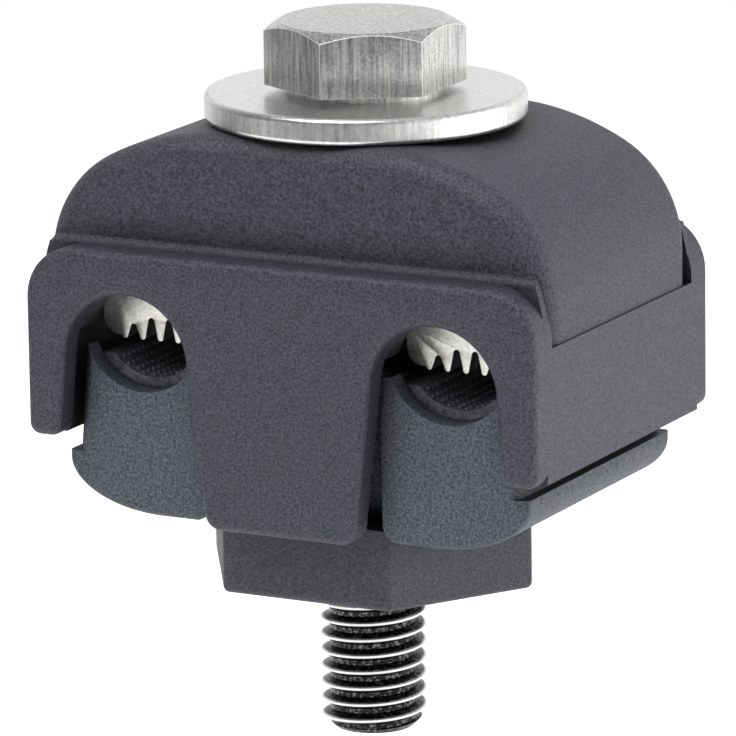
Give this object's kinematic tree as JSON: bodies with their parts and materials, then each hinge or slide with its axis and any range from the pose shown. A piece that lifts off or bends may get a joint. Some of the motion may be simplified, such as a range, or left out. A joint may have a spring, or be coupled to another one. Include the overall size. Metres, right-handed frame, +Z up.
{
  "type": "branch tap connector",
  "caption": "Insulation-piercing cable tap: a domed upper housing with toothed blades, bolted down on a saddled lower cradle.",
  "frame": {"origin": "on the axis of the run channel's front arch, in the middle of the arch's wall", "axes": "+X from the run channel to the tap channel, +Y along the conductors from the front saddle to the rear one, +Z up along the bolt towards its head"},
  "size_m": [0.042, 0.0295, 0.054],
  "materials": {
    "housing": "moulded, fine grain",
    "cradle": "moulded, coarse grain",
    "grip": "pimpled",
    "steel": "satin stainless",
    "blade": "tinned, satin"
  },
  "bodies": {
    "upper_half": {"upper_housing": "housing", "flat_washer": "steel", "contact_blade_front": "blade", "contact_blade_rear": "blade"},
    "lower_half": {"lower_cradle": "cradle", "run_grip_pad": "grip", "tap_grip_pad": "grip", "nut_housing": "housing", "hex_nut": "steel"},
    "bolt": {"clamp_bolt": "steel"}
  },
  "joints": [
    {"name": "clamp_travel", "type": "slide", "parent": "upper_half", "child": "lower_half", "axis": [0, 0, -1], "range_m": [-0.0009, 0.016]},
    {"name": "bolt_turn", "type": "hinge", "parent": "upper_half", "child": "bolt", "pos_m": [0.0127, 0.01345, 0.017], "axis": [0, 0, 1], "range_deg": [-260, 4610]}
  ],
  "couplings": [
    {"joint": "bolt_turn", "follows": "clamp_travel", "rad_per_m": 5026.5}
  ]
}
